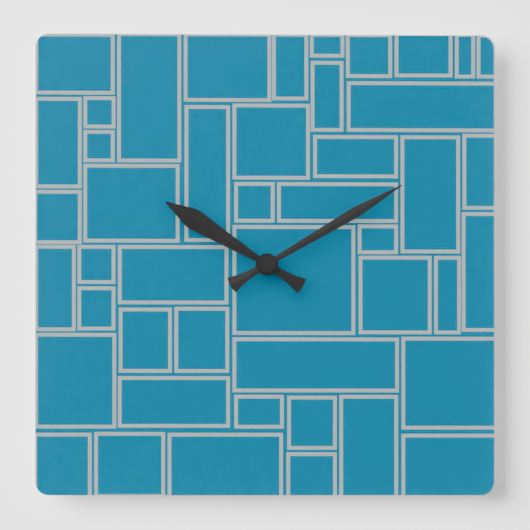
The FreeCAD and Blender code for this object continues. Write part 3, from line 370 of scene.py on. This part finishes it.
def print_tree():
    tree, sizes = new_geometry_tree("mosaic_print", [
        ("Line Width", "NodeSocketFloat", 0.0024), ("Ink Thickness", "NodeSocketFloat", 0.00004),
        ("Film Thickness", "NodeSocketFloat", 0.0002), ("Side", "NodeSocketFloat", 0.27),
        ("Corner", "NodeSocketFloat", 0.007), ("Hole Radius", "NodeSocketFloat", 0.004),
        ("Grey", "NodeSocketMaterial", None), ("Teal", "NodeSocketMaterial", None),
        ("White", "NodeSocketMaterial", None),
    ])
    # a quad of the frame's size on each point
    quad = add_node(tree, "GeometryNodeMeshGrid", values={
        "Size X": 1.0, "Size Y": 1.0, "Vertices X": 2, "Vertices Y": 2})
    span = add_node(tree, "GeometryNodeInputNamedAttribute", {"data_type": "FLOAT_VECTOR"},
                    {"Name": "span"})
    quads = add_node(tree, "GeometryNodeInstanceOnPoints", links={
        "Points": sizes["Geometry"], "Instance": quad.outputs[0], "Scale": span.outputs[0]})
    real = add_node(tree, "GeometryNodeRealizeInstances", links={"Geometry": quads.outputs[0]})
    # the quad's middle, smaller by a line's width on each side
    inset = add_node(tree, "GeometryNodeExtrudeMesh", {"mode": "FACES"},
                     {"Offset Scale": 0.0, "Individual": True}, {"Mesh": real.outputs[0]})
    axes = add_node(tree, "ShaderNodeSeparateXYZ", links={"Vector": span.outputs[0]})
    line = arithmetic(tree, "MULTIPLY", sizes["Line Width"], 2.0)
    mesh = inset.outputs["Mesh"]
    for index, axis in enumerate([(1, 0, 0), (0, 1, 0)]):
        lost = arithmetic(tree, "DIVIDE", line, axes.outputs[index])
        share = arithmetic(tree, "SUBTRACT", 1.0, lost)
        mesh = scale_along(tree, mesh, inset.outputs["Top"], axis, share)
    lines = add_node(tree, "GeometryNodeDeleteGeometry", {"domain": "FACE"},
                     links={"Geometry": mesh, "Selection": inset.outputs["Top"]})
    # the rounded outline of the film, with the neck's hole, as a flat face
    edge = add_node(tree, "GeometryNodeCurvePrimitiveQuadrilateral", links={
        "Width": sizes["Side"], "Height": sizes["Side"]})
    rounded = add_node(tree, "GeometryNodeFilletCurve", {"mode": "POLY"}, {"Count": 10}, {
        "Curve": edge.outputs[0], "Radius": sizes["Corner"]})
    hole = add_node(tree, "GeometryNodeCurvePrimitiveCircle", values={"Resolution": 48},
                    links={"Radius": sizes["Hole Radius"]})
    curves = add_node(tree, "GeometryNodeJoinGeometry")
    tree.links.new(rounded.outputs[0], curves.inputs[0])
    tree.links.new(hole.outputs[0], curves.inputs[0])
    outline = add_node(tree, "GeometryNodeFillCurve", {"mode": "TRIANGLES"},
                       links={"Curve": curves.outputs[0]})
    # the lines, trimmed: a slab of them met with a thicker slab of the outline
    grey = add_node(tree, "GeometryNodeSetMaterial", links={
        "Geometry": lines.outputs[0], "Material": sizes["Grey"]})
    ink = closed_slab(tree, grey.outputs[0], sizes["Ink Thickness"])
    cutter_height = arithmetic(tree, "MULTIPLY", sizes["Ink Thickness"], 3.0)
    cutter = closed_slab(tree, outline.outputs[0], cutter_height)
    sunk = arithmetic(tree, "MULTIPLY", sizes["Ink Thickness"], -1.0)
    cutter = moved(tree, cutter, up_by(tree, sunk))
    trimmed = add_node(tree, "GeometryNodeMeshBoolean", {"operation": "INTERSECT", "solver": "EXACT"})
    tree.links.new(ink, trimmed.inputs["Mesh 2"])
    tree.links.new(cutter, trimmed.inputs["Mesh 2"])
    # the film: teal in front, white behind
    film = closed_slab(tree, outline.outputs[0], sizes["Film Thickness"])
    fallen = arithmetic(tree, "MULTIPLY", sizes["Film Thickness"], -1.0)
    film = moved(tree, film, up_by(tree, fallen))
    white = add_node(tree, "GeometryNodeSetMaterial", links={"Geometry": film, "Material": sizes["White"]})
    normal = add_node(tree, "GeometryNodeInputNormal")
    facing = add_node(tree, "ShaderNodeSeparateXYZ", links={"Vector": normal.outputs[0]})
    front = arithmetic(tree, "GREATER_THAN", facing.outputs["Z"], 0.5)
    teal = add_node(tree, "GeometryNodeSetMaterial", links={
        "Geometry": white.outputs[0], "Selection": front, "Material": sizes["Teal"]})
    joined = add_node(tree, "GeometryNodeJoinGeometry")
    tree.links.new(trimmed.outputs[0], joined.inputs[0])
    tree.links.new(teal.outputs[0], joined.inputs[0])
    add_node(tree, "NodeGroupOutput", links={0: joined.outputs[0]})
    return tree


mosaic_tree = print_tree()
print("the tree has", len(mosaic_tree.nodes), "nodes")

# %% [markdown]
# ## From tree to plain mesh
# A modifier runs the tree. Its inputs are set by each socket's identifier, because two sockets
# may share a name. The evaluated result is then kept as a plain mesh, turned to stand on the wall
# and moved to its station, so the object itself stays at the origin, unturned.

# %% Run the tree and stand the print up
def grow(thing, tree, values, place):
    """Runs a geometry tree on an object, keeps the result as its mesh and puts it in place."""
    modifier = thing.modifiers.new("grow", "NODES")
    modifier.node_group = tree
    for item in tree.interface.items_tree:
        if item.item_type == "SOCKET" and item.in_out == "INPUT" and item.name in values:
            modifier[item.identifier] = values[item.name]
    bpy.context.view_layer.update()
    depsgraph = bpy.context.evaluated_depsgraph_get()
    mesh = bpy.data.meshes.new_from_object(thing.evaluated_get(depsgraph))
    thing.modifiers.clear()
    # a boolean may leave an empty first slot that no face uses
    if mesh.materials[0] is None:
        mesh.materials.pop(index=0)
    mesh.transform(place)
    mesh.name = thing.name
    thing.data = mesh
    return thing


FACE_UP = Matrix.Rotation(math.radians(90), 4, "X")
ink_back = film_low.y + PANEL_GAP + INK_THICKNESS
grow(mosaic, mosaic_tree, {
    "Line Width": LINE_WIDTH,
    "Ink Thickness": INK_THICKNESS,
    "Film Thickness": film_high.y - ink_back,
    "Side": film_high.x - film_low.x,
    "Corner": FILM_CORNER,
    "Hole Radius": NECK_HOLE,
    "Grey": grey_ink,
    "Teal": teal_ink,
    "White": white_film,
}, Matrix.Translation((0, ink_back, 0)) @ FACE_UP)
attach(mosaic, "movement")
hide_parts("printed_film")
print("print:", len(mosaic.data.polygons), "faces,", [m.name for m in mosaic.data.materials])

# %% [markdown]
# ## The hands
# The hands and the cap are pressed from thin sheet and sprayed with satin black enamel. Each
# blade is creased along its middle, so its two flanks catch different light, and that is already
# in the CAD shape. Sprayed enamel has a skin like orange peel, with lumps of about a millimetre
# and a height of a few thousandths, which softens the reflections.

# %% Satin enamel
def make_satin_enamel():
    material, shader = new_material("satin_black_enamel", "#383533", 0.42, {"IOR": 1.52})
    tree = material.node_tree
    place = object_place(tree)
    peel = noise(tree, place, 1.1, 2.0)
    tint(tree, shader, noise(tree, place, 9.0), "#2b2928", "#333030")
    gloss(tree, shader, peel, 0.38, 0.46)
    relief(tree, shader, peel, 0.004)
    return material


satin_enamel = make_satin_enamel()
for hand_node in ("minute_hand", "hour_hand", "cap_nut"):
    dress(hand_node, satin_enamel)
print("enamelled:", satin_enamel.name)

# %% [markdown]
# ## Moulded plastics
# The case, its cover, the bridge, the knob and the wheels are injection moulded. The case is ABS
# from a spark-eroded mould, which gives an even pitting of about 0.4 mm. The knob is the same
# plastic in pale grey. The wheels are natural acetal, a waxy white plastic that lets a little
# light into it, so it gets a touch of subsurface scattering.

# %% ABS and acetal
def make_moulded(name, dark, light, roughness, pit=0.4, depth=0.015, values=None):
    material, shader = new_material(name, dark, roughness, {"IOR": 1.54} | (values or {}))
    tree = material.node_tree
    place = object_place(tree)
    pits = noise(tree, place, pit, 1.0)
    tint(tree, shader, noise(tree, place, 12.0, 3.0), dark, light)
    gloss(tree, shader, pits, roughness - 0.05, roughness + 0.05)
    relief(tree, shader, pits, depth)
    return material


WAXY = {"Subsurface Weight": 0.2, "Subsurface Scale": 0.8 * MM}
black_abs = make_moulded("black_moulded_ABS", "#161617", "#1d1d1f", 0.5)
grey_abs = make_moulded("pale_grey_moulded_ABS", "#b4b6b5", "#bcbebc", 0.45, 0.3, 0.01)
bridge_abs = make_moulded("grey_moulded_ABS", "#8e8e8a", "#969692", 0.5)
acetal = make_moulded("natural_acetal", "#e4e1d6", "#ebe8dd", 0.38, 0.6, 0.005, WAXY)
bobbin_nylon = make_moulded("cream_nylon", "#dcd4bd", "#e2dbc6", 0.45, 0.5, 0.006, WAXY)
for black_node in ("movement_case", "rear_cover"):
    dress(black_node, black_abs)
WHEELS = ("centre_wheel", "hour_wheel", "minute_wheel", "third_wheel", "seconds_wheel", "fifth_wheel",
          "rotor_pinion")
for wheel_node in WHEELS:
    dress(wheel_node, acetal)
dress("setting_knob", grey_abs)
dress("train_bridge", bridge_abs)
dress("coil_bobbin", bobbin_nylon)
print(len(WHEELS), "acetal wheels")

# %% [markdown]
# ## Turned and plated metals
# The neck, its nut and washer, the collet and the shaft are turned brass: a lathe tool leaves
# fine rings round the axis, here the axis of the hands. The rings of a real tool are some 0.05 mm
# apart, too fine to show, so they are drawn at 0.25 mm. Screws and contacts are steel with a thin
# bright plating, which is smoother and only slightly cloudy.

# %% Brass, plated steel and soft iron
def make_turned_brass():
    material, shader = new_material("turned_brass", "#c9a55f", 0.28, {"Metallic": 1.0})
    tree = material.node_tree
    place = object_place(tree)
    rings = lathe_rings(tree, place, 0.25)
    tint(tree, shader, noise(tree, place, 6.0, 3.0), "#c29d57", "#d2af6b")
    gloss(tree, shader, rings, 0.22, 0.34)
    relief(tree, shader, rings, 0.004)
    return material


def make_sheet_metal(name, dark, light, roughness, cloud=3.0, height=0.002):
    material, shader = new_material(name, dark, roughness, {"Metallic": 1.0})
    tree = material.node_tree
    place = object_place(tree)
    # a rolled sheet has its grain drawn out along one axis
    grain = noise(tree, object_place(tree, (12, 1, 1)), 0.25, 2.0)
    tint(tree, shader, noise(tree, place, cloud, 3.0), dark, light)
    gloss(tree, shader, grain, roughness - 0.06, roughness + 0.06)
    relief(tree, shader, grain, height)
    return material


turned_brass = make_turned_brass()
plated_steel = make_sheet_metal("zinc_plated_steel", "#b9bbbd", "#c8cacb", 0.3)
nickel_plate = make_sheet_metal("nickel_plated_spring_steel", "#c6c2ba", "#d2cfc8", 0.22)
soft_iron = make_sheet_metal("annealed_soft_iron", "#8b8a89", "#999897", 0.42, 2.0, 0.004)
for brass_node in ("brass_washer", "hex_nut", "hour_collet", "minute_shaft"):
    dress(brass_node, turned_brass)
for steel_node in ("bridge_screws", "stator_screws"):
    dress(steel_node, plated_steel)
for plated_node in ("positive_contact", "negative_contact", "clutch_washer", "crystal_can", "battery_cell"):
    dress(plated_node, nickel_plate)
for iron_node in ("coil_core", "stator_plate"):
    dress(iron_node, soft_iron)
print("metals:", turned_brass.name, plated_steel.name, nickel_plate.name, soft_iron.name)

# %% [markdown]
# ## The threaded neck
# The neck is threaded from the case to its tip. CAD keeps it a plain cylinder at the thread's
# outer size, so the thread is a relief of ridges along the axis, 0.75 mm apart, on the same brass.
# The brass also carries painted shade, darker in each groove, and a painted highlight, lighter on
# each crest.

# %% Thread on the neck
def make_threaded_brass():
    material, shader = new_material("threaded_brass", "#c9a55f", 0.28, {"Metallic": 1.0})
    tree = material.node_tree
    place = object_place(tree)
    thread_ridges_and_painted_shade = ridges(tree, place, 0.75, "Y")
    # painted shade and painted highlight: the brass darkens in each groove of the thread and lightens on
    # each crest
    tint(tree, shader, thread_ridges_and_painted_shade, "#a98447", "#d2af6b", 0.0, 1.0)
    relief(tree, shader, thread_ridges_and_painted_shade, 0.25)
    return material


dress("threaded_bush", make_threaded_brass())

# %% [markdown]
# ## Rubber, ferrite, laminate and resin
# The washer behind the panel is matt black rubber with a fine bloom. The rotor's magnet is
# sintered ferrite, ground flat, so it is grainy and nearly black. The circuit board is brown
# paper laminate, whose fibres show as a fine weave, and the chip under its blob of black epoxy
# is glossy and smooth.

# %% Four dark materials
def make_weave_laminate():
    material, shader = new_material("brown_paper_laminate", "#8a6034", 0.4, {"IOR": 1.55})
    tree = material.node_tree
    place = object_place(tree)
    weave = arithmetic(tree, "MULTIPLY", ridges(tree, place, 0.5, "X"), ridges(tree, place, 0.5, "Z"))
    tint(tree, shader, weave, "#84592e", "#936a3e", 0.0, 1.0)
    relief(tree, shader, weave, 0.01)
    return material


black_rubber = make_moulded("matt_black_rubber", "#1b1b1b", "#242424", 0.75, 0.25, 0.02)
ferrite = make_moulded("sintered_ferrite", "#2c2c2e", "#3a3a3c", 0.5, 0.2, 0.01)
epoxy = make_moulded("black_epoxy_resin", "#0d0d0e", "#121213", 0.16, 2.5, 0.01)
dress("rubber_washer", black_rubber)
dress("rotor_magnet", ferrite)
dress("clock_chip", epoxy)
dress("circuit_board", make_weave_laminate())
print("dark materials:", black_rubber.name, ferrite.name, epoxy.name)

# %% [markdown]
# ## The cell's sleeve
# A battery wears a printed shrink sleeve. This one is generic: a dark body with a copper band at
# the positive end and no lettering. The band starts at a place along the cell, so the colour
# follows the Object X coordinate. A clear varnish over the print is the shader's coat.

# %% Shrink sleeve in two colours
COPPER_SHARE = 0.3


def make_sleeve():
    coat = {"Coat Weight": 0.6, "Coat Roughness": 0.12}
    material, shader = new_material("printed_shrink_sleeve", "#17181b", 0.35, coat)
    tree = material.node_tree
    place = object_place(tree)
    low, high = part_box("battery_wrap")
    band_start = high.x - COPPER_SHARE * (high.x - low.x)
    along = add_node(tree, "ShaderNodeSeparateXYZ", links={"Vector": place}).outputs["X"]
    in_band = arithmetic(tree, "GREATER_THAN", along, band_start / MM)
    mix = add_node(tree, "ShaderNodeMix", {"data_type": "RGBA"},
                   {"A": linear("#17181b"), "B": linear("#b5763f")}, {"Factor": in_band})
    tree.links.new(mix.outputs["Result"], shader.inputs["Base Color"])
    tree.links.new(in_band, shader.inputs["Metallic"])
    relief(tree, shader, noise(tree, place, 5.0), 0.02)
    return material


dress("battery_wrap", make_sleeve())

# %% [markdown]
# ## The coil
# The coil holds thousands of turns of hair-thin enamelled copper. CAD stands for them with one
# tube. From outside only the last layer shows, as fine parallel turns, so a Geometry Nodes helix
# replaces the tube: one spline round the bobbin, given thickness by a small profile. A real turn
# is about 0.06 mm thick. It is drawn at 0.35 mm, coarse enough to be seen as wire.

# %% Winding as a helix
def winding_tree():
    tree, sizes = new_geometry_tree("wound_coil", [
        ("Turns", "NodeSocketFloat", 50.0), ("Wire Radius", "NodeSocketFloat", 0.00018),
        ("Coil Radius", "NodeSocketFloat", 0.0032), ("Length", "NodeSocketFloat", 0.02),
        ("Copper", "NodeSocketMaterial", None),
    ])
    helix = add_node(tree, "GeometryNodeCurveSpiral", values={"Resolution": 24}, links={
        "Rotations": sizes["Turns"], "Start Radius": sizes["Coil Radius"],
        "End Radius": sizes["Coil Radius"], "Height": sizes["Length"]})
    profile = add_node(tree, "GeometryNodeCurvePrimitiveCircle", values={"Resolution": 6},
                       links={"Radius": sizes["Wire Radius"]})
    wire = add_node(tree, "GeometryNodeCurveToMesh", values={"Fill Caps": True}, links={
        "Curve": helix.outputs[0], "Profile Curve": profile.outputs[0]})
    # the inner layers, as a plain cylinder under the last one
    inner = add_node(tree, "GeometryNodeMeshCylinder", values={"Vertices": 48}, links={
        "Radius": sizes["Coil Radius"], "Depth": sizes["Length"]})
    half = arithmetic(tree, "MULTIPLY", sizes["Length"], 0.5)
    inner = moved(tree, inner.outputs["Mesh"], up_by(tree, half))
    joined = add_node(tree, "GeometryNodeJoinGeometry")
    tree.links.new(wire.outputs[0], joined.inputs[0])
    tree.links.new(inner, joined.inputs[0])
    real = add_node(tree, "GeometryNodeRealizeInstances", links={"Geometry": joined.outputs[0]})
    copper = add_node(tree, "GeometryNodeSetMaterial", links={
        "Geometry": real.outputs[0], "Material": sizes["Copper"]})
    add_node(tree, "NodeGroupOutput", links={0: copper.outputs[0]})
    return tree


def make_enamelled_copper():
    values = {"Metallic": 1.0, "Coat Weight": 0.5, "Coat Roughness": 0.1}
    material, shader = new_material("enamelled_copper_wire", "#b4622f", 0.3, values)
    tree = material.node_tree
    place = object_place(tree)
    tint(tree, shader, noise(tree, place, 1.0, 3.0), "#a85827", "#c0703a")
    return material


WIRE_RADIUS = 0.18 * MM
WIRE_PITCH = 0.37 * MM
coil_low, coil_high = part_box("coil_winding")
coil_radius = (coil_high.z - coil_low.z) / 2
helix_length = coil_high.x - coil_low.x - 2 * WIRE_RADIUS
turns = round(helix_length / WIRE_PITCH)
coil_middle = (coil_low + coil_high) / 2
winding = bpy.data.objects.new("coil_wire", bpy.data.meshes.new("coil_wire"))
bpy.context.collection.objects.link(winding)
along_x = Matrix.Rotation(math.radians(90), 4, "Y")
winding_start = (coil_low.x + WIRE_RADIUS, coil_middle.y, coil_middle.z)
grow(winding, winding_tree(), {
    "Turns": turns,
    "Wire Radius": WIRE_RADIUS,
    "Coil Radius": coil_radius - WIRE_RADIUS,
    "Length": helix_length,
    "Copper": make_enamelled_copper(),
}, Matrix.Translation(winding_start) @ along_x)
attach(winding, "movement")
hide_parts("coil_winding")
print("winding:", turns, "turns,", len(winding.data.polygons), "faces")

# %% [markdown]
# ## The wall
# The clock hangs on a plain pale wall, which is only a backdrop. It is painted plaster: almost
# white, with a roller's faint stipple. It stands a hair behind the clock's back. To let the back
# of the clock be seen, the wall is see-through from behind, and it casts no shadow, so lamps
# behind it light the clock's back.

# %% Wall
def make_wall_paint():
    material, shader = new_material("matt_wall_paint", "#eeeeee", 0.9, {"Specular IOR Level": 0.1})
    tree = material.node_tree
    stipple = noise(tree, object_place(tree), 2.5, 2.0)
    tint(tree, shader, stipple, "#ededed", "#efefef")
    relief(tree, shader, stipple, 0.02)
    behind = add_node(tree, "ShaderNodeNewGeometry").outputs["Backfacing"]
    clear = add_node(tree, "ShaderNodeBsdfTransparent")
    mix = add_node(tree, "ShaderNodeMixShader",
                   links={0: behind, 1: shader.outputs[0], 2: clear.outputs[0]})
    output = [node for node in tree.nodes if node.type == "OUTPUT_MATERIAL"][0]
    tree.links.new(mix.outputs[0], output.inputs["Surface"])
    return material


WALL_HALF = 1.5
WALL_GAP = 0.2 * MM
wall_mesh = bpy.data.meshes.new("wall")
corners = [(-WALL_HALF, WALL_GAP, -WALL_HALF), (WALL_HALF, WALL_GAP, -WALL_HALF),
           (WALL_HALF, WALL_GAP, WALL_HALF), (-WALL_HALF, WALL_GAP, WALL_HALF)]
wall_mesh.from_pydata(corners, [], [(0, 1, 2, 3)])
wall_mesh.materials.append(make_wall_paint())
wall = bpy.data.objects.new("wall", wall_mesh)
bpy.context.collection.objects.link(wall)
wall.visible_shadow = False
print("wall normal:", tuple(round(part, 1) for part in wall_mesh.polygons[0].normal))

# %% [markdown]
# ## Light
# A big soft lamp at the upper left models the hands and the panel's edges, and a weak one at the
# lower right fills their dark sides. The wall has a lamp of its own at the left, linked to the
# wall alone: the wall can then be nearly white while the print keeps its deep colour, and the
# clock still throws its soft shadow to the right and down. The thin hands would cut up the print
# with shadows, so they are left out of what blocks the key lamp, and the face under them is
# shaded only from the rest of the light. Two weaker lamps behind the wall light the clock's back.
# Lamps are hidden from the camera, so they never show in another view.

# %% Lamps
def soft_lamp(name, place, size, watts):
    """A round lamp that faces the origin, its place and size in metres."""
    lamp = bpy.data.lights.new(name, "AREA")
    lamp.shape = "DISK"
    lamp.size = size
    lamp.energy = watts
    thing = bpy.data.objects.new(name, lamp)
    thing.location = place
    thing.rotation_euler = (-Vector(place)).to_track_quat("-Z", "Y").to_euler()
    thing.visible_camera = False
    bpy.context.collection.objects.link(thing)
    return thing


key_lamp = soft_lamp("key_lamp", (-0.96, -1.80, 0.86), 2.6, 27)
soft_lamp("fill_lamp", (0.90, -1.60, -0.60), 1.4, 4.5)
soft_lamp("back_lamp_left", (-0.9, 1.3, 0.7), 0.9, 14)
soft_lamp("back_lamp_right", (1.0, 1.2, 0.2), 0.9, 10)
wall_lamp = soft_lamp("wall_lamp", (-2.30, -2.60, 1.00), 2.6, 525)
wall_only = bpy.data.collections.new("wall_only")
wall_only.objects.link(wall)
wall_lamp.light_linking.receiver_collection = wall_only
key_blockers = bpy.data.collections.new("key_blockers")
for thing in list(bpy.data.objects):
    if thing.type == "MESH" and thing.name not in ("minute_hand", "hour_hand", "wall"):
        key_blockers.objects.link(thing)
key_lamp.light_linking.blocker_collection = key_blockers

# %% [markdown]
# ## The room
# A pale world gives the rest of the light. The part of it that the panel would mirror straight
# back at someone in front of it is dark, as a room is behind the person who looks at the clock,
# so no haze lies over the print. What the camera sees directly of the world is always pale.

# %% World
def pale_room(strength):
    world = bpy.data.worlds.new("pale_room")
    world.use_nodes = True
    tree = world.node_tree
    tree.nodes.clear()
    direction = add_node(tree, "ShaderNodeTexCoord").outputs["Generated"]
    depth = add_node(tree, "ShaderNodeSeparateXYZ", links={"Vector": direction}).outputs["Y"]
    values = {"From Min": -0.90, "From Max": -0.72, "To Min": 0.05, "To Max": 1.0}
    room = add_node(tree, "ShaderNodeMapRange", values=values, links={"Value": depth}).outputs[0]
    seen = add_node(tree, "ShaderNodeLightPath").outputs["Is Camera Ray"]
    level = arithmetic(tree, "MULTIPLY", arithmetic(tree, "MAXIMUM", room, seen), strength)
    background = add_node(tree, "ShaderNodeBackground", values={"Color": linear("#f4f5f6")},
                          links={"Strength": level})
    add_node(tree, "ShaderNodeOutputWorld", links={"Surface": background.outputs[0]})
    return world


ROOM_STRENGTH = 0.72
bpy.context.scene.world = pale_room(ROOM_STRENGTH)
print("world:", bpy.context.scene.world.name)

# %% [markdown]
# ## Camera
# The clock is seen almost square on, from 5 degrees to the left and a little below, through a long
# lens from far away, so the square stays square. The lens is worked out from the width of the
# wall that the picture takes in, and the camera aims a hair off the panel's middle.

# %% Camera
CAMERA_DISTANCE = 5.0
CAMERA_AZIMUTH = math.radians(-5.0)
CAMERA_ELEVATION = math.radians(-1.4)
PICTURE_WIDTH = 0.3138
FRAMING = Vector((-0.3, 0, -0.15)) * MM

camera_data = bpy.data.cameras.new("camera")
camera = bpy.data.objects.new("camera", camera_data)
bpy.context.collection.objects.link(camera)
bpy.context.scene.camera = camera
target = (panel_low + panel_high) / 2 + FRAMING
backwards = Vector((
    math.sin(CAMERA_AZIMUTH) * math.cos(CAMERA_ELEVATION),
    -math.cos(CAMERA_AZIMUTH) * math.cos(CAMERA_ELEVATION),
    math.sin(CAMERA_ELEVATION),
))
camera.location = target + backwards * CAMERA_DISTANCE
camera.rotation_euler = (-backwards).to_track_quat("-Z", "Y").to_euler()
camera_data.lens = camera_data.sensor_width / 2 / (PICTURE_WIDTH / 2 / CAMERA_DISTANCE)
camera_data.clip_end = 100
print("lens in mm:", round(camera_data.lens))
